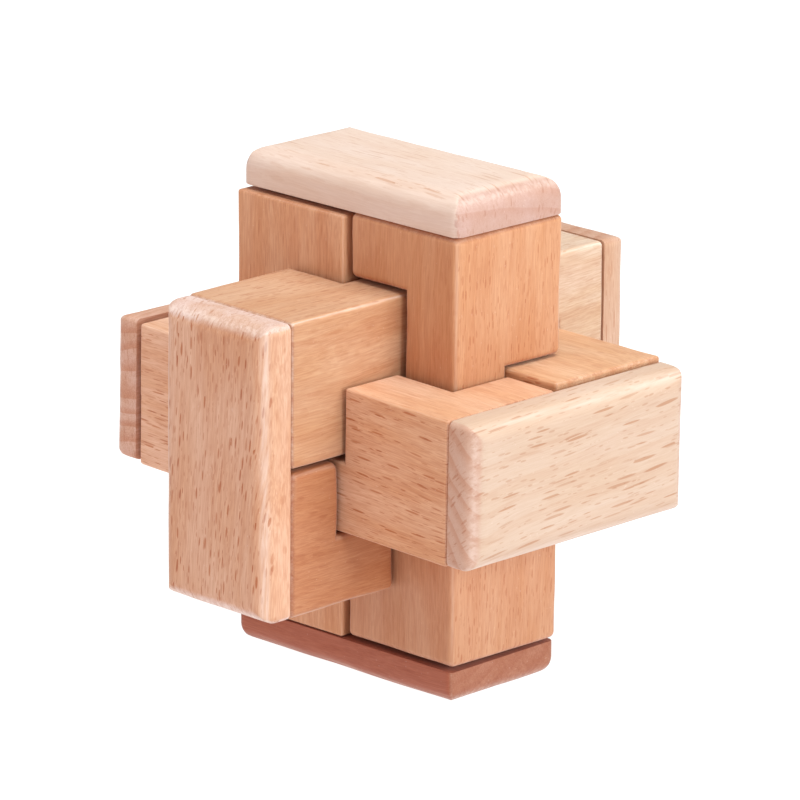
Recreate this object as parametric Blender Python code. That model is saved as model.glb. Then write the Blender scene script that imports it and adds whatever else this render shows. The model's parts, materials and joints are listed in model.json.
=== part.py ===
"""Six-bar wooden burr puzzle with a thin cap plate on each of its six ends.

Six square bars lock in three crossing pairs: a pair of uprights, a pair of cross bars along X and a pair of
deep bars along Y. Each bar carries one cap plate, glued to one of its ends, and the plate reaches over the end
of the bar's partner. All six bars have the same two notches: three are cut right-handed, three left-handed.

Metres, +Z up. The origin is under the middle of the puzzle, on the surface that it stands on.
"""

import bpy
import bmesh
from mathutils import Matrix, Vector

# Driving dimensions
BAR_WIDTH = 0.018          # each bar is square in section
BAR_LENGTH = 0.0516
PLATE_THICKNESS = 0.0042
TOP_PLATE_THICKNESS = 0.0047
FIT_GAP = 0.0005           # play between two faces that slide on each other
GLUE_LINE = 0.0001         # between a bar's end and its own plate
UPPER_HALF_LIFT = 0.0004   # the upper three bars stand this much proud of the lower three

BAR_EASE = 0.0006          # sanded edges of a bar
PLATE_ROUND = 0.0020       # the four edges of a plate's outer face
ROUND_SEGMENTS = 4
EASE_SEGMENTS = 2

# Sizes that follow from them
HALF = BAR_WIDTH / 2
PLAY = FIT_GAP / 2         # every sliding face is set back by its own half of the gap
CAP_FACE = BAR_LENGTH / 2 + PLAY
CENTRE_HEIGHT = CAP_FACE + PLATE_THICKNESS

X, Y, Z = Vector((1, 0, 0)), Vector((0, 1, 0)), Vector((0, 0, 1))

# One row per puzzle piece: bar, plate, the plate's thickness, the way from the puzzle's middle out to the bar,
# the way from the bar's free end to its plate, the hand of its notches, whether it belongs to the upper half,
# and the wood's colours.
PIECES = (
    ("upright_bar_right", "top_plate", TOP_PLATE_THICKNESS, X, Z, 1, True, (0.50, 0.25, 0.105), (0.68, 0.47, 0.27)),
    ("deep_bar_upper", "back_plate", PLATE_THICKNESS, Z, Y, -1, True, (0.56, 0.32, 0.14), (0.66, 0.44, 0.24)),
    ("cross_bar_back", "left_plate", PLATE_THICKNESS, Y, -X, 1, True, (0.53, 0.27, 0.11), (0.57, 0.36, 0.20)),
    ("upright_bar_left", "bottom_plate", PLATE_THICKNESS, -X, -Z, -1, False, (0.50, 0.26, 0.11), (0.47, 0.24, 0.11)),
    ("deep_bar_lower", "front_plate", PLATE_THICKNESS, -Z, -Y, 1, False, (0.48, 0.22, 0.09), (0.54, 0.30, 0.15)),
    ("cross_bar_front", "right_plate", PLATE_THICKNESS, -Y, X, -1, False, (0.56, 0.31, 0.14), (0.68, 0.47, 0.28)),
)


def wood(name, colour):
    """Sanded, oiled beech in one tone."""
    material = bpy.data.materials.new(name)
    material.use_nodes = True
    shader = material.node_tree.nodes["Principled BSDF"]
    shader.inputs["Base Color"].default_value = (*colour, 1)
    shader.inputs["Roughness"].default_value = 0.55
    shader.inputs["Metallic"].default_value = 0
    material.diffuse_color = (*colour, 1)
    return material


def block(low, high):
    """A closed box between two corners, as a bmesh."""
    mesh = bmesh.new()
    bmesh.ops.create_cube(mesh, size=1)
    low, high = Vector(low), Vector(high)
    bmesh.ops.scale(mesh, vec=high - low, verts=mesh.verts)
    bmesh.ops.translate(mesh, vec=(low + high) / 2, verts=mesh.verts)
    return mesh


def round_edges(mesh, edges, radius, segments):
    """Rounds these edges of the bmesh."""
    bmesh.ops.bevel(
        mesh, geom=edges, offset=radius, segments=segments, profile=0.5, affect="EDGES"
    )


def add_object(name, mesh, parent):
    """Puts a bmesh into the scene as a child of `parent`."""
    data = bpy.data.meshes.new(name)
    bmesh.ops.recalc_face_normals(mesh, faces=mesh.faces)
    mesh.to_mesh(data)
    mesh.free()
    data.shade_smooth()
    data.set_sharp_from_angle(angle=0.7)
    made = bpy.data.objects.new(name, data)
    made.parent = parent
    bpy.context.scene.collection.objects.link(made)
    return made


def bar_block():
    """A bar before it is notched: its plate end at +Z, the side that faces the puzzle's middle at -X."""
    side = HALF - PLAY
    mesh = block((-side, -side, -BAR_LENGTH / 2 + PLAY), (side, side, CAP_FACE - GLUE_LINE))
    round_edges(mesh, mesh.edges[:], BAR_EASE, EASE_SEGMENTS)
    return mesh


def notch_blocks(hand):
    """The bar's two notches, each a half-depth cut as long as a bar is wide, plus the play."""
    beyond = 2 * HALF
    inner = block((-beyond, -beyond, -PLAY), (PLAY, beyond, 2 * HALF + PLAY))
    edges = sorted((-hand * PLAY, hand * beyond))
    side = block((-beyond, edges[0], -HALF - PLAY), (beyond, edges[1], HALF + PLAY))
    return {"inner_notch": inner, "side_notch": side}


def plate_block(thickness):
    """A cap plate: it covers its own bar and the partner at -X, and its outer face has rounded edges."""
    near, far = HALF - PLAY, -3 * HALF + PLAY
    outer = CAP_FACE + thickness
    mesh = block((far, -near, CAP_FACE), (near, near, outer))
    middle = (CAP_FACE + outer) / 2
    outer_edges = [edge for edge in mesh.edges if all(vert.co.z > middle for vert in edge.verts)]
    round_edges(mesh, outer_edges, PLATE_ROUND, ROUND_SEGMENTS)
    return mesh


def piece(bar_name, plate_name, thickness, outward, along, hand, is_upper, bar_colour, plate_colour):
    """One puzzle piece: a notched bar with its cap plate, held by an empty at the middle of the bar."""
    holder = bpy.data.objects.new(bar_name + "_holder", None)
    bpy.context.scene.collection.objects.link(holder)
    turn = Matrix((outward, along.cross(outward), along)).transposed()
    height = CENTRE_HEIGHT + (UPPER_HALF_LIFT if is_upper else 0)
    holder.location = outward * HALF + Z * height
    holder.rotation_euler = turn.to_euler()

    bar = add_object(bar_name, bar_block(), holder)
    bar.data.materials.append(wood(bar_name, bar_colour))
    for notch_name, notch in notch_blocks(hand).items():
        cutter = add_object(f"{bar_name}_{notch_name}", notch, holder)
        cutter.hide_render = True
        cutter.display_type = "WIRE"
        cut = bar.modifiers.new(notch_name, "BOOLEAN")
        cut.operation = "DIFFERENCE"
        cut.solver = "EXACT"
        cut.object = cutter

    plate = add_object(plate_name, plate_block(thickness), holder)
    plate.data.materials.append(wood(plate_name, plate_colour))


def main():
    for left_over in list(bpy.data.objects):
        bpy.data.objects.remove(left_over, do_unlink=True)
    for row in PIECES:
        piece(*row)


main()
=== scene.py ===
"""Looks of the six-bar wooden burr puzzle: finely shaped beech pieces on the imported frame, in a pale studio.

Each CAD node is replaced by a fine mesh of the same solid, with sanded edges and small nicks. Its own axes
follow the wood: Z along the grain, X out of the puzzle. One shader describes the beech in those axes.
"""

import json
import math
from itertools import combinations, product
from typing import Any, NamedTuple

import bpy
import numpy as np
from mathutils import Euler, Matrix, Vector, noise
from mathutils.bvhtree import BVHTree


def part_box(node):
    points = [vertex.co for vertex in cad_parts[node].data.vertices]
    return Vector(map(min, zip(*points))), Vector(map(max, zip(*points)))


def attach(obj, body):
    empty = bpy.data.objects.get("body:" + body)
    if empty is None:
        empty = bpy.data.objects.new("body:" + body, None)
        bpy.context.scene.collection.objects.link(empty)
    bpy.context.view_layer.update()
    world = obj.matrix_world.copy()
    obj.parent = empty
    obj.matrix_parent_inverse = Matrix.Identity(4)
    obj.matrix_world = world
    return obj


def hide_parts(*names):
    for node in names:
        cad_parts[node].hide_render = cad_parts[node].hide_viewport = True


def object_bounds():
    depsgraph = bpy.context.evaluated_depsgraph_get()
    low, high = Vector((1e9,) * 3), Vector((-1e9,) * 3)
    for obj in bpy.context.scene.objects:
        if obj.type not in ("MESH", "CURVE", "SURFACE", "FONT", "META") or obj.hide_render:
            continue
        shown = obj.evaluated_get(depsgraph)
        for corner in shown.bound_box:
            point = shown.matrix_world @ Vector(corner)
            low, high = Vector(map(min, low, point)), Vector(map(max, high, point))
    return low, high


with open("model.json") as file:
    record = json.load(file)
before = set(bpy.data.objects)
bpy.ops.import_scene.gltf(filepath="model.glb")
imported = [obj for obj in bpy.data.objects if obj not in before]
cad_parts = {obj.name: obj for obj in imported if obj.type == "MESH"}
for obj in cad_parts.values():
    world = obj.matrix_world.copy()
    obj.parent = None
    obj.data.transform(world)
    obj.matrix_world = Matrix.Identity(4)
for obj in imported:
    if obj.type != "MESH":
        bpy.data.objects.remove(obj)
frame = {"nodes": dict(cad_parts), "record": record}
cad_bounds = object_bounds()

MM = 0.001
HAIR = 1e-6                                    # metres, far below any detail
MIDDLE = (cad_bounds[0] + cad_bounds[1]) / 2   # of the whole puzzle

# Reading the CAD solids
FLAT_ENOUGH = 0.9999                           # how nearly a flat face's normal lies along an axis
SMALLEST_FLAT = 2 * MM * MM                    # the least area of a flat face that counts
SKEW_WAY = Vector((0.29, 0.61, 0.74)).normalized()   # runs along no face, so that it crosses them cleanly

# Shape of the wood
PLATE_CORNER = 0.8 * MM                        # the edges between two sides of a plate
PLATE_BACK_EASE = 0.15 * MM                    # the edges of a plate's glued face
EASE_VARIES = 0.35                             # share by which hand sanding changes a bar's edge radius
PLATE_EASE_VARIES = 0.3 * EASE_VARIES
EASE_LUMPS = 6 * MM                            # length over which the radius changes
ARC_STEPS = 5                                  # facets across half of a rounded edge
FACE_STEP = 1.6 * MM                           # mesh spacing on the flat faces
SHARP_ANGLE = math.radians(40)
NICK_SIZE = 0.9 * MM
NICK_START = 0.25                              # a higher value leaves fewer nicks
INWARD_LIMIT = 4 * MM                          # makes the nicks in an edge slant across both its faces

# Camera: it stands at these angles and this distance from a point on the puzzle's axis, at AIM_HEIGHT, and is
# then shifted sideways and up without turning
CAMERA_AZIMUTH = math.radians(44.97)
CAMERA_ELEVATION = math.radians(16.70)
CAMERA_ROLL = math.radians(0.42)
CAMERA_DISTANCE = 0.771
CAMERA_SIDEWAYS = 0.00027
CAMERA_RISE = 0.00147
AIM_HEIGHT = 0.03025
LENS_MM, SENSOR_MM = 294.3, 36.0

# Studio: each soft box's place from the puzzle's middle, its size, watts and colour
SOFT_BOXES = {
    "top_box": ((0.15, 0.0, 0.9), 0.7, 10.0, (0.82, 0.98, 1.0)),
    "right_box": ((0.95, 0.05, 0.30), 0.6, 8.5, (0.80, 0.97, 1.0)),
    "left_box": ((-0.30, -0.9, 0.35), 0.6, 1.5, (1, 0.82, 0.70)),
}
AMBIENT_COLOUR, AMBIENT_STRENGTH = (1, 0.95, 0.92, 1), 0.40
FLOOR_REACH = 4.0
FLOOR_DROP = 0.05 * MM                         # keeps the floor clear of the bottom plate
FLOOR_GREY = 0.12                              # dark of its own, so that it throws little light back
FLOOR_GLOW = 1.0                               # and pale all over by its glow

# Beech's textures: lumps or streaks to the millimetre, out from the pith, round it and up the tree
WANDER_SCALE = (0.07, 0.07, 0.03)              # how the whole grain bends
UNEVEN_SCALE = (0.16, 0.02, 0.008)             # how the rings' widths differ
COARSE_SCALE = (1.9, 1.9, 0.07)                # bundles of fibres
FINE_SCALE = (6.5, 6.5, 0.3)                   # single fibres
MOTTLE_SCALE = (0.22, 0.22, 0.05)              # patches of tone
SPECK_SCALE = (3.1, 3.1, 1.9)                  # pale dust, in the piece's own directions
WANDER_MM = 3.0
RING_DRIFT = 2.2                               # in rings

# Rays, in millimetres in the same directions: how far apart they are, and half the size of a large one.
# A wood's ray_length makes the broad ones longer.
BROAD_RAY_PITCH, BROAD_RAY_HALF = (0.8, 1.1, 1.9), (0.7, 0.15, 0.8)
SMALL_RAY_PITCH, SMALL_RAY_HALF = (0.5, 0.6, 1.4), (0.45, 0.10, 0.6)

# Beech's colour: changes to the two tones of its mottling, gains, and the linear colour of wood rubbed pale,
# which on the rounded edges is partly painted highlight
PALE_CHANGE = (0.08, 0.15, 0.24)
WARM_CHANGE = (-0.03, -0.12, -0.22)
COARSE_GAIN = (0.74, 0.50, 0.36)
FINE_GAIN = (0.70, 0.48, 0.36)
RING_GAIN = (0.80, 0.52, 0.34)
RAY_GAIN = (0.70, 0.42, 0.24)
# pale wood from rubbing, also used for pale dust; on the rounded edges it is partly painted highlight
CHALK_AND_HIGHLIGHT = (0.86, 0.66, 0.58)
COARSE_SHARE, FINE_SHARE = 0.26, 0.50
SMALL_RAY_SHARE = 0.6
RINGS_ON_SIDES = 0.35                          # how clear the rings are on the sides, beside the end grain
END_GRAIN_NORMAL = (0.25, 0.60)                # the normal's part along the grain, from none to full
FAR_GAIN_HEIGHT = (-5.0, 20.0)                 # millimetres up the piece, from none of its far gain to all

# Beech's finish
ROUGH_BETWEEN, ROUGH_ON = 0.62, 0.48           # between the bundles of fibres, and on them
SPECULAR, SHEEN, SHEEN_ROUGHNESS = 0.4, 0.12, 0.5
BUMP_STRENGTH, BUMP_HEIGHT = 0.35, 0.06 * MM


class Wood(NamedTuple):
    """How one node's piece of beech looks. Lengths are in millimetres, and gains multiply the colour."""
    colour: tuple                    # at the low end of the grain
    pith: tuple                      # the middle of the tree, from the piece's middle along its own X and Y
    ring_width: float = 2.8
    ring_strength: float = 0.3
    ray_strength: float = 0.5
    ray_length: float = 1.6
    slope: float = 0.05              # how far the fibres run off the piece's own length, towards its Y
    figure: float = 1.0              # contrast of the fibres
    far: tuple = (1.0, 1.0, 1.0)     # gain at the high end of the grain
    end: tuple = (0.92, 0.86, 0.86)  # gain on the end grain
    wear_and_highlight: float = 0.15               # how pale the edges are from rubbing, and how much painted highlight they carry
    ease: float = 0.4                # radius of the sanded edges: all of a bar's, or a plate's outer ones
    nicks: float = 0.12              # depth of the nicks in the edges


WOODS = {
    # The right upright's far gain leaves it darker towards its bottom: painted shade for the shade on its
    # lower part.
    "upright_bar_right": Wood(
        (0.585, 0.272, 0.145), (40, 10), ray_strength=0.5, ray_length=0.8, figure=0.8,
        far=(1.05, 1.05, 1.0), ease=0.8, nicks=0.06,
    ),
    "upright_bar_left": Wood((0.68, 0.34, 0.183), (12, 45), ring_width=2.2, ray_strength=0.3),
    "cross_bar_front": Wood(
        (0.78, 0.45, 0.30), (50, 12), ring_width=3.2, ray_strength=0.9, slope=0.03, far=(0.89, 0.82, 0.73),
    ),
    "cross_bar_back": Wood(
        (0.67, 0.376, 0.213), (45, 12), ring_width=3.0, ray_strength=0.8, ease=0.5, nicks=0.4,
    ),
    "deep_bar_upper": Wood(
        (0.59, 0.31, 0.175), (-40, 8), ring_width=6.0, ring_strength=0.6, ray_strength=0.6, ray_length=1.0,
        figure=0.9, far=(1.10, 1.42, 1.80), wear_and_highlight=0.4, ease=0.6,
    ),
    "deep_bar_lower": Wood((0.48, 0.188, 0.082), (-40, 12), ring_width=2.4, ray_strength=0.9, ease=0.9),
    "top_plate": Wood(
        (0.71, 0.505, 0.42), (-48, 6), ring_width=3.0, ring_strength=0.25, ray_strength=0.5, ray_length=2.8,
        figure=0.35, end=(0.74, 0.60, 0.59), wear_and_highlight=0.3, ease=2.8,
    ),
    # The bottom plate's dark colour is partly its own tone and partly painted shade, for the shade under the
    # pieces above and the little light from below.
    "bottom_plate": Wood(
        (0.41, 0.110, 0.052), (-30, -20), ring_width=2.6, ray_strength=0.3, end=(0.97, 1.32, 1.5),
        wear_and_highlight=0.2, ease=2.2,
    ),
    "left_plate": Wood(
        (0.655, 0.367, 0.264), (6, 44), ring_width=2.2, ring_strength=0.65, end=(1.03, 1.09, 1.16),
        wear_and_highlight=0.3, ease=2.2,
    ),
    "right_plate": Wood(
        (0.595, 0.40, 0.30), (-36, 28), ring_width=1.9, ring_strength=0.45, ray_strength=0.7, ray_length=2.6,
        slope=-0.08, figure=0.35, end=(0.96, 0.84, 0.84), wear_and_highlight=0.3, ease=2.3,
    ),
    "front_plate": Wood(
        (0.68, 0.376, 0.244), (60, 12), ring_width=3.0, ring_strength=0.2, ray_strength=1.0, ray_length=1.1,
        slope=0.08, end=(1.03, 1.27, 1.68), wear_and_highlight=0.5, ease=2.3,
    ),
    "back_plate": Wood(
        (0.60, 0.36, 0.25), (10, -50), ring_width=2.6, ring_strength=0.4, figure=0.8, wear_and_highlight=0.3, ease=2.2,
    ),
}

# How each body lies in the play between the pieces: a shift in millimetres, and a turn in degrees round the
# puzzle's middle
RESTING = {
    "right_upright_piece": ((0.22, 0.20, -0.42), (-0.50, -0.34, -0.22)),
    "left_upright_piece": ((-0.12, -0.14, 0.0), (-0.03, -0.20, 0.77)),
    "front_cross_piece": ((-0.03, -0.06, 0.02), (0.03, 0.80, -0.22)),
    "back_cross_piece": ((0.06, -0.20, 0.05), (-0.78, 0.20, -0.07)),
    "upper_deep_piece": ((-0.05, -0.18, -0.30), (0.05, 0.15, -0.03)),
    "lower_deep_piece": ((0.14, 0.12, 0.06), (0.05, 0.16, -0.20)),
}


# ---------------------------------------------------------------- shape

def flat_planes(node):
    """Along each axis, the places of the node's flat faces."""
    mesh = node.data
    found = []
    for axis in range(3):
        places = {}
        for face in mesh.polygons:
            if abs(face.normal[axis]) > FLAT_ENOUGH:
                place = round(mesh.vertices[face.vertices[0]].co[axis], 6)
                places[place] = places.get(place, 0) + face.area
        found.append(sorted(place for place, area in places.items() if area > SMALLEST_FLAT))
    return found


def solid_cells(node, planes):
    """Which cells between the planes are wood, as an array of booleans."""
    mesh = node.data
    tree = BVHTree.FromPolygons([v.co for v in mesh.vertices], [f.vertices for f in mesh.polygons])

    def inside(point):
        crossings = 0
        hit = tree.ray_cast(point, SKEW_WAY)[0]
        while hit is not None:
            crossings += 1
            hit = tree.ray_cast(hit + SKEW_WAY * HAIR, SKEW_WAY)[0]
        return crossings % 2 == 1

    middles = [[(a + b) / 2 for a, b in zip(places, places[1:])] for places in planes]
    filled = [inside(Vector(middle)) for middle in product(*middles)]
    return np.array(filled).reshape([len(m) for m in middles])


def largest_boxes(cells, planes):
    """Every box of cells that is all wood and lies in no larger one, as (low corners, high corners)."""
    spans = [list(combinations(range(n + 1), 2)) for n in cells.shape]
    full = [span for span in product(*spans) if cells[tuple(slice(*ends) for ends in span)].all()]

    def holds(outer, inner):
        return outer != inner and all(o[0] <= i[0] and i[1] <= o[1] for o, i in zip(outer, inner))

    kept = [span for span in full if not any(holds(other, span) for other in full)]
    lows = [[places[ends[0]] for places, ends in zip(planes, span)] for span in kept]
    highs = [[places[ends[1]] for places, ends in zip(planes, span)] for span in kept]
    return np.array(lows), np.array(highs)


def mesh_lines(places, radius):
    """Mesh lines along one axis, close together beside each flat face, for round edges of that radius."""
    turns = np.linspace(0, math.pi / 4, ARC_STEPS + 1)
    beside = np.append((1 - np.tan(turns)) * radius, radius * (1 + EASE_VARIES))
    lines = []
    for low, high in zip(places, places[1:]):
        near = np.sort(beside) * min(1.0, (high - low) / 2 / beside.max())
        count = max(1, math.ceil((high - low - 2 * near[-1]) / FACE_STEP))
        lines += [*(low + near), *(high - near), *np.linspace(low + near[-1], high - near[-1], count + 1)]
    ordered = np.sort(lines)
    return ordered[np.append(True, np.diff(ordered) > HAIR)]


def facing_quads(step, axis, sign, count):
    """Quads where the wood ends on one side of that axis, as indices into the grid of mesh lines."""
    u, v = (axis + 1) % 3, (axis + 2) % 3
    at = np.argwhere(step == sign)
    corners = []
    for du, dv in ((0, 0), (1, 0), (1, 1), (0, 1)):
        moved = at.copy()
        moved[:, u] += du
        moved[:, v] += dv
        corners.append(np.ravel_multi_index(moved.T, count))
    return np.stack(corners[::-1] if sign == 1 else corners, axis=1)


def skin(cells, planes, lines):
    """Points and quads of the boundary of the solid cells, on the mesh lines."""
    middles = [(line[:-1] + line[1:]) / 2 for line in lines]
    index = [np.searchsorted(places, middle) - 1 for places, middle in zip(planes, middles)]
    padded = np.pad(cells[np.ix_(*index)], 1).astype(int)
    count = [len(line) for line in lines]
    quads = []
    for axis in range(3):
        inner = [slice(1, -1)] * 3
        inner[axis] = slice(None)
        step = np.diff(padded, axis=axis)[tuple(inner)]
        quads += [facing_quads(step, axis, sign, count) for sign in (-1, 1)]
    used, quads = np.unique(np.concatenate(quads), return_inverse=True)
    places = np.unravel_index(used, count)
    return np.stack([line[i] for line, i in zip(lines, places)], axis=1), quads.reshape(-1, 4)


def bar_field(lows, highs, radii):
    """How far points stand outside a notched bar whose outward edges are rounded, with one radius a point."""
    def field(points):
        r = radii[:, None]
        gaps = [
            np.linalg.norm(points - np.clip(points, low + r, high - r), axis=1)
            for low, high in zip(lows, highs)
        ]
        return np.min(gaps, axis=0) - radii
    return field


def corner_max(a, b, radius):
    """The larger of two distances, with a rounded edge where the two surfaces meet."""
    rounded = np.hypot(np.maximum(a + radius, 0), np.maximum(b + radius, 0)) - radius
    return np.where((a > -radius) & (b > -radius), rounded, np.maximum(a, b))


def plate_field(low, high, outward, radii):
    """How far points stand outside a plate whose outer face has rounded edges."""
    axis = int(np.argmax(np.abs(outward)))
    across = [a for a in range(3) if a != axis]
    middle, half = (low + high) / 2, (high - low) / 2

    def field(points):
        out = np.abs(points - middle) - half
        rim = corner_max(out[:, across[0]], out[:, across[1]], PLATE_CORNER)
        height = outward[axis] * (points[:, axis] - middle[axis])
        outside = corner_max(rim, height - half[axis], radii)
        return corner_max(outside, -height - half[axis], PLATE_BACK_EASE)
    return field


def settle(points, field, rounds=4):
    """Moves points along the field's slope until they lie on its surface."""
    for _ in range(rounds):
        slope = np.stack([
            (field(points + step) - field(points - step)) / (2 * HAIR) for step in np.eye(3) * HAIR
        ], axis=1)
        points = points - slope * field(points)[:, None]
    return points


def noise_at(points, size, seed):
    """Smooth noise from -1 to 1, one value a point, with lumps of that size."""
    shift = Vector((seed * 3.7, seed * 1.3, seed * 2.1))
    return np.array([noise.noise(Vector(p) / size + shift) for p in points])


def wood_axes(low, high):
    """The piece's own axes as a rotation: Z along its longest side, X from the puzzle's middle out to it."""
    size, centre = high - low, (low + high) / 2
    grain = int(np.argmax(size))
    is_plate = min(size) < max(size) / 5
    out = centre - np.array(MIDDLE)
    out[grain] = 0
    x_axis = int(np.argmin(size)) if is_plate else int(np.argmax(np.abs(out)))
    x = Vector(np.eye(3)[x_axis] * np.sign(out[x_axis]))
    z = Vector(np.eye(3)[grain])
    return Matrix((x, z.cross(x), z)).transposed(), is_plate


def sanded(node, low, high, plate_way, seed, wood):
    """The node's solid with sanded edges: points, quads, and how far each point lies into a rounded edge, from
    0 to 1, which sets the edges' wear and painted highlight.

    plate_way is the way that a plate's outer face looks, and None for a bar.
    """
    planes = flat_planes(node)
    cells = solid_cells(node, planes)
    radius = wood.ease * MM
    sharp, quads = skin(cells, planes, [mesh_lines(places, radius) for places in planes])
    varies = EASE_VARIES if plate_way is None else PLATE_EASE_VARIES
    radii = radius * (1 + varies * noise_at(sharp, EASE_LUMPS, seed))
    if plate_way is None:
        field = bar_field(*largest_boxes(cells, planes), radii)
    else:
        field = plate_field(low, high, plate_way, radii)
    points = settle(sharp, field)
    moved = np.linalg.norm(points - sharp, axis=1)
    wear_and_highlight = np.clip(moved / (radius * (math.sqrt(2) - 1)), 0, 1)
    return points, quads, wear_and_highlight


def nicked(points, centre, wear_and_highlight, seed, depth):
    """Presses small nicks of up to that depth into the worn edges."""
    inward = np.clip(centre - points, -INWARD_LIMIT, INWARD_LIMIT)
    inward /= np.linalg.norm(inward, axis=1)[:, None]
    nick = np.clip(noise_at(points, NICK_SIZE, seed + 11) - NICK_START, 0, 1) * np.clip(wear_and_highlight * 2, 0, 1)
    return points + inward * (nick * depth)[:, None]


def wooden_piece(name, node, seed, wood):
    """A fine mesh of one CAD node: the same solid, with sanded edges and small nicks in them."""
    low, high = (np.array(corner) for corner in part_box(name))
    centre = (low + high) / 2
    axes, is_plate = wood_axes(low, high)
    points, quads, wear_and_highlight = sanded(node, low, high, axes.col[0] if is_plate else None, seed, wood)
    points = nicked(points, centre, wear_and_highlight, seed, wood.nicks * MM)

    mesh = bpy.data.meshes.new(name + "_wood")
    mesh.from_pydata(((points - centre) @ np.array(axes)).tolist(), [], quads.tolist())
    mesh.attributes.new("wear_and_highlight", "FLOAT", "POINT").data.foreach_set("value", wear_and_highlight.astype(np.float32))
    mesh.shade_smooth()
    mesh.set_sharp_from_angle(angle=SHARP_ANGLE)
    made = bpy.data.objects.new(name + "_wood", mesh)
    made.matrix_world = Matrix.Translation(centre) @ axes.to_4x4()
    bpy.context.scene.collection.objects.link(made)
    return made


# ---------------------------------------------------------------- beech

class Graph:
    """Builds one material's nodes. Every call takes sockets or plain values and returns an output socket.

    Only split is different: it returns the three outputs of the vector's parts.
    """

    def __init__(self, material):
        self.tree = material.node_tree

    def node(self, kind, inputs, output=0, **settings):
        made = self.tree.nodes.new(kind)
        for name, value in settings.items():
            setattr(made, name, value)
        for socket, value in inputs.items():
            if isinstance(value, bpy.types.NodeSocket):
                self.tree.links.new(value, made.inputs[socket])
            else:
                made.inputs[socket].default_value = value
        return made.outputs[output]

    def math(self, operation, *values):
        return self.node("ShaderNodeMath", dict(enumerate(values)), operation=operation)

    def times(self, *values):
        return self.math("MULTIPLY", *values)

    def vector(self, operation, *values, output=0):
        return self.node("ShaderNodeVectorMath", dict(enumerate(values)), output, operation=operation)

    def scaled(self, vector, factors):
        return self.vector("MULTIPLY", vector, factors)

    def length(self, vector):
        return self.vector("LENGTH", vector, output="Value")

    def combine(self, x, y, z):
        return self.node("ShaderNodeCombineXYZ", {0: x, 1: y, 2: z})

    def split(self, vector):
        made = self.tree.nodes.new("ShaderNodeSeparateXYZ")
        self.tree.links.new(vector, made.inputs[0])
        return made.outputs

    def noise(self, vector, detail=2.0, roughness=0.5, output="Fac"):
        inputs = {"Vector": vector, "Scale": 1.0, "Detail": detail, "Roughness": roughness}
        return self.node("ShaderNodeTexNoise", inputs, output)

    def ramp(self, value, low, high, start=0.0, end=1.0):
        """Goes smoothly from start to end as value goes from low to high."""
        inputs = {"Value": value, "From Min": low, "From Max": high, "To Min": start, "To Max": end}
        return self.node("ShaderNodeMapRange", inputs, interpolation_type="SMOOTHSTEP")

    def mix(self, share, a, b, blend="MIX"):
        opaque = [c if isinstance(c, bpy.types.NodeSocket) else (*c, 1.0) for c in (a, b)]
        inputs = {"Factor": share, 6: opaque[0], 7: opaque[1]}
        return self.node("ShaderNodeMix", inputs, 2, data_type="RGBA", blend_type=blend)

    def tint(self, share, colour, gain):
        """Multiplies the colour by the gain, as far as the share says."""
        return self.mix(share, colour, gain, "MULTIPLY")


class Figure(NamedTuple):
    """What can be seen of the wood at a place. Each is a node's output, from 0 to 1."""
    coarse: Any         # bundles of fibres
    fine: Any           # single fibres
    mottle: Any         # patches of tone
    late: Any           # the dark, late part of a growth ring
    broad_rays: Any
    small_rays: Any
    end_grain: Any      # where the surface cuts across the fibres
    ray_clearness: Any  # how well the surface shows the rays


def rays(g, grain, pitch, half_size, seed):
    """Beech's rays, small flat lenses that stand along the grain: 1 in a ray, 0 outside it.

    grain is the place as (distance from the pith, distance round it, height). pitch is how far apart the rays
    are, and half_size half the size of a large one, both in those directions.
    """
    place = g.vector("ADD", g.vector("DIVIDE", grain, pitch), (seed * 1.7, seed * 2.3, seed * 0.9))
    cell = g.tree.nodes.new("ShaderNodeTexVoronoi")
    g.tree.links.new(place, cell.inputs["Vector"])
    cell.inputs["Scale"].default_value = 1.0
    chance = g.split(cell.outputs["Color"])
    offset = g.vector("SUBTRACT", place, cell.outputs["Position"])
    gap = g.length(g.scaled(offset, [p / h for p, h in zip(pitch, half_size)]))
    reach = g.math("DIVIDE", gap, g.ramp(chance[0], 0.0, 1.0, 0.35, 1.15))
    return g.times(g.ramp(reach, 0.65, 1.0, 1.0, 0.0), g.ramp(chance[1], 0.25, 0.85))


def broad_rays(g, grain, length, seed):
    """Two overlaid sets of the broad rays, made longer by that factor."""
    pitch, half_size = ((*size[:2], size[2] * length) for size in (BROAD_RAY_PITCH, BROAD_RAY_HALF))
    return g.math("MAXIMUM", *(rays(g, grain, pitch, half_size, s) for s in (seed, seed + 5)))


def grain_place(g, here, seed, pith, slope):
    """The place in the tree, in millimetres: (distance from the pith, distance round it, height)."""
    drift = g.vector("ADD", here, (seed * 31.7, seed * 17.3, seed * 53.1))
    bend = g.noise(g.scaled(drift, WANDER_SCALE), 2, 0.5, "Color")
    wander = g.scaled(g.vector("SUBTRACT", bend, (0.5, 0.5, 0.5)), (WANDER_MM, WANDER_MM, 0))
    x, y, z = g.split(g.vector("ADD", here, wander))
    dx = g.math("SUBTRACT", x, float(pith[0]))
    dy = g.math("SUBTRACT", g.math("SUBTRACT", y, float(pith[1])), g.times(z, slope))
    distance = g.length(g.combine(dx, dy, 0.0))
    home = math.atan2(-pith[1], -pith[0])
    ahead = g.math("ADD", g.times(dx, math.cos(home)), g.times(dy, math.sin(home)))
    aside = g.math("SUBTRACT", g.times(dy, math.cos(home)), g.times(dx, math.sin(home)))
    around = g.times(g.math("ARCTAN2", aside, ahead), math.hypot(*pith))
    return g.vector("ADD", g.combine(distance, around, z), (seed * 7.1, seed * 5.3, seed * 11.9)), distance


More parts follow.
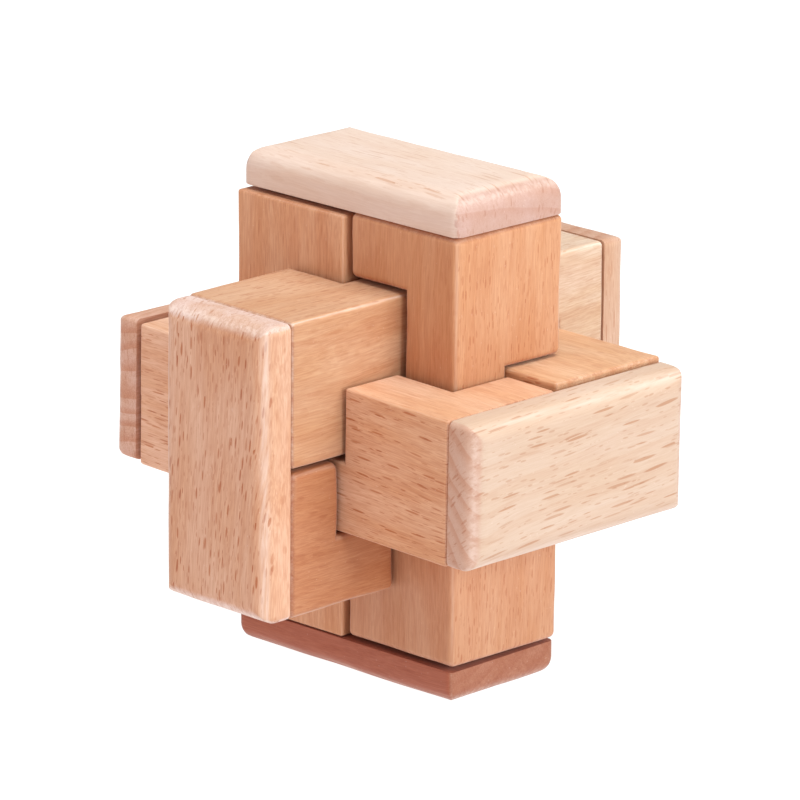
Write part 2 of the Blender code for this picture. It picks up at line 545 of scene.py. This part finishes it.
def late_wood(g, grain, distance, ring_width):
    """Growth rings: rises slowly through each ring and drops at its end."""
    uneven = g.noise(g.scaled(grain, UNEVEN_SCALE), 1)
    ring = g.math("ADD", g.math("DIVIDE", distance, ring_width), g.times(uneven, RING_DRIFT))
    phase = g.math("FRACT", ring)
    return g.times(g.ramp(phase, 0.25, 0.93), g.ramp(phase, 0.93, 1.0, 1.0, 0.0))


def wood_figure(g, here, seed, wood):
    """The wood's figure at the place `here`, which is in millimetres in the piece's own axes."""
    grain, distance = grain_place(g, here, seed, wood.pith, wood.slope)
    normal = g.node("ShaderNodeTexCoord", {}, "Normal")
    end_grain = g.ramp(g.math("ABSOLUTE", g.split(normal)[2]), *END_GRAIN_NORMAL)
    far_off = math.hypot(*wood.pith)
    to_pith = (wood.pith[0] / far_off, wood.pith[1] / far_off, 0)
    flat_sawn = g.math("ABSOLUTE", g.vector("DOT_PRODUCT", normal, to_pith, output="Value"))
    open_rays = g.math("MAXIMUM", flat_sawn, g.times(end_grain, 0.6))
    return Figure(
        coarse=g.noise(g.scaled(grain, COARSE_SCALE), 3, 0.6),
        fine=g.noise(g.scaled(grain, FINE_SCALE), 2, 0.6),
        mottle=g.noise(g.scaled(grain, MOTTLE_SCALE), 3, 0.55),
        late=late_wood(g, grain, distance, wood.ring_width),
        broad_rays=broad_rays(g, grain, wood.ray_length, seed),
        small_rays=rays(g, grain, SMALL_RAY_PITCH, SMALL_RAY_HALF, seed + 3),
        end_grain=end_grain,
        ray_clearness=g.ramp(open_rays, 0.3, 0.75, 0.25 * wood.ray_strength, wood.ray_strength),
    )


def grown_and_shaded_colour(g, here, see, wood):
    """The colour of the wood as it grew: mottling, fibres, rings and rays. The bottom plate's base colour and
    the right upright's gain along the grain also carry painted shade.
    """
    pale, warm = (
        tuple(c * (1 + wood.figure * change) for c, change in zip(wood.colour, changes))
        for changes in (PALE_CHANGE, WARM_CHANGE)
    )
    colour = g.mix(g.ramp(see.mottle, 0.3, 0.7), warm, pale)
    colour = g.tint(g.ramp(see.coarse, 0.3, 0.7, COARSE_SHARE * wood.figure, 0.0), colour, COARSE_GAIN)
    colour = g.tint(g.ramp(see.fine, 0.3, 0.7, FINE_SHARE * wood.figure, 0.0), colour, FINE_GAIN)
    ring_share = g.ramp(see.end_grain, 0.0, 1.0, RINGS_ON_SIDES * wood.ring_strength, wood.ring_strength)
    colour = g.tint(g.times(see.late, ring_share), colour, RING_GAIN)
    colour = g.tint(see.end_grain, colour, wood.end)
    # Gain along the grain: on the right upright it is painted shade, darker towards the bottom.
    colour = g.tint(g.ramp(g.split(here)[2], *FAR_GAIN_HEIGHT), colour, wood.far)
    small = g.times(g.times(see.small_rays, SMALL_RAY_SHARE), see.ray_clearness)
    colour = g.tint(small, colour, RAY_GAIN)
    return g.tint(g.times(see.broad_rays, see.ray_clearness), colour, RAY_GAIN)


def handled_and_highlit_colour(g, here, see, wood, colour):
    """The colour after sanding and handling: pale specks, and pale rubbed edges that are partly painted
    highlight.
    """
    specks = g.noise(g.scaled(here, SPECK_SCALE), 1)
    colour = g.mix(g.ramp(specks, 0.70, 0.80, 0.0, 0.15), colour, CHALK_AND_HIGHLIGHT)
    # Painted highlight: the rounded edges are paled towards the chalk colour, partly as wear and partly for
    # the light that rounded edges catch.
    wear_highlight_mask = g.node("ShaderNodeAttribute", {}, "Fac", attribute_name="wear_and_highlight")
    chalk_highlight_share = g.times(g.ramp(wear_highlight_mask, 0.1, 0.9), g.ramp(see.coarse, 0.35, 0.65, 0.3, 1.0))
    return g.mix(g.times(chalk_highlight_share, wood.wear_and_highlight), colour, CHALK_AND_HIGHLIGHT)


def surface_bump(g, see):
    """The fibres' low relief, with the broad rays sunk into it."""
    relief = g.math("ADD", g.times(see.fine, 0.6), g.times(see.coarse, 0.4))
    relief = g.math("SUBTRACT", relief, g.times(see.broad_rays, 0.25))
    return g.node("ShaderNodeBump", {"Strength": BUMP_STRENGTH, "Distance": BUMP_HEIGHT, "Height": relief})


def beech(name, seed, wood):
    """Sanded and lightly oiled beech, in the piece's own axes."""
    material = bpy.data.materials.new(name)
    material.use_nodes = True
    g = Graph(material)
    here = g.scaled(g.node("ShaderNodeTexCoord", {}, "Object"), (1 / MM, 1 / MM, 1 / MM))
    see = wood_figure(g, here, seed, wood)
    colour = handled_and_highlit_colour(g, here, see, wood, grown_and_shaded_colour(g, here, see, wood))

    shader = material.node_tree.nodes["Principled BSDF"]
    links = material.node_tree.links
    links.new(colour, shader.inputs["Base Color"])
    links.new(surface_bump(g, see), shader.inputs["Normal"])
    links.new(g.ramp(see.coarse, 0.2, 0.8, ROUGH_BETWEEN, ROUGH_ON), shader.inputs["Roughness"])
    shader.inputs["Specular IOR Level"].default_value = SPECULAR
    shader.inputs["Sheen Weight"].default_value = SHEEN
    shader.inputs["Sheen Roughness"].default_value = SHEEN_ROUGHNESS
    return material


# ---------------------------------------------------------------- studio

def soft_box(name, place, size, watts, colour):
    """A square soft light that shines at the puzzle's middle."""
    light = bpy.data.lights.new(name, "AREA")
    light.size = size
    light.energy = watts
    light.color = colour
    made = bpy.data.objects.new(name, light)
    made.location = MIDDLE + Vector(place)
    made.rotation_euler = (-Vector(place)).to_track_quat("-Z", "Y").to_euler()
    bpy.context.scene.collection.objects.link(made)


def pale_floor():
    """A plain floor under the puzzle, as pale as the light around it."""
    mesh = bpy.data.meshes.new("floor")
    corners = [(x * FLOOR_REACH, y * FLOOR_REACH, 0) for x, y in ((-1, -1), (1, -1), (1, 1), (-1, 1))]
    mesh.from_pydata(corners, [], [(0, 1, 2, 3)])
    floor = bpy.data.objects.new("floor", mesh)
    floor.location.z = -FLOOR_DROP
    bpy.context.scene.collection.objects.link(floor)
    paint = bpy.data.materials.new("pale_floor")
    paint.use_nodes = True
    shader = paint.node_tree.nodes["Principled BSDF"]
    shader.inputs["Base Color"].default_value = (FLOOR_GREY, FLOOR_GREY, FLOOR_GREY, 1)
    shader.inputs["Roughness"].default_value = 0.9
    shader.inputs["Emission Color"].default_value = (1, 1, 1, 1)
    shader.inputs["Emission Strength"].default_value = FLOOR_GLOW
    mesh.materials.append(paint)


def studio():
    """The floor under soft light from all round, from above, from the right and, weaker, from the left."""
    world = bpy.data.worlds.new("studio")
    world.use_nodes = True
    background = world.node_tree.nodes["Background"]
    background.inputs["Color"].default_value = AMBIENT_COLOUR
    background.inputs["Strength"].default_value = AMBIENT_STRENGTH
    bpy.context.scene.world = world
    for name, box in SOFT_BOXES.items():
        soft_box(name, *box)
    pale_floor()
    bpy.context.scene.view_settings.view_transform = "Standard"


def camera():
    """A long lens a little above the puzzle, seeing two of its sides and its top."""
    a, e, roll = CAMERA_AZIMUTH, CAMERA_ELEVATION, CAMERA_ROLL
    back = Vector((math.sin(a) * math.cos(e), -math.cos(a) * math.cos(e), math.sin(e)))
    level = Vector((math.cos(a), math.sin(a), 0))
    upright = back.cross(level)
    right = level * math.cos(roll) + upright * math.sin(roll)
    up = upright * math.cos(roll) - level * math.sin(roll)
    data = bpy.data.cameras.new("camera")
    data.lens, data.sensor_width = LENS_MM, SENSOR_MM
    data.clip_start, data.clip_end = 0.05, 20
    made = bpy.data.objects.new("camera", data)
    aim = Vector((0, 0, AIM_HEIGHT))
    place = aim + back * CAMERA_DISTANCE + right * CAMERA_SIDEWAYS + up * CAMERA_RISE
    made.matrix_world = Matrix.Translation(place) @ Matrix((right, up, back)).transposed().to_4x4()
    bpy.context.scene.collection.objects.link(made)
    bpy.context.scene.camera = made


# ---------------------------------------------------------------- puzzle

def lie_in_play(made, body):
    """Shifts and turns a piece a hair, to where it came to rest between its neighbours."""
    shift, turn = RESTING[body]
    turned = Euler([math.radians(angle) for angle in turn]).to_matrix().to_4x4()
    to_middle = Matrix.Translation(MIDDLE)
    move = Matrix.Translation(Vector(shift) * MM) @ to_middle @ turned @ to_middle.inverted()
    made.matrix_world = move @ made.matrix_world


def main():
    """Puts a wooden piece in place of each CAD node."""
    bodies = frame["record"]["behaviour"]["bodies"]
    body_of = {node: body for body, nodes in bodies.items() for node in nodes}
    camera()
    studio()
    for seed, (name, wood) in enumerate(WOODS.items()):
        made = wooden_piece(name, frame["nodes"][name], seed, wood)
        made.data.materials.append(beech(name + "_beech", seed, wood))
        lie_in_play(made, body_of[name])
        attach(made, body_of[name])
        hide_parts(name)


main()
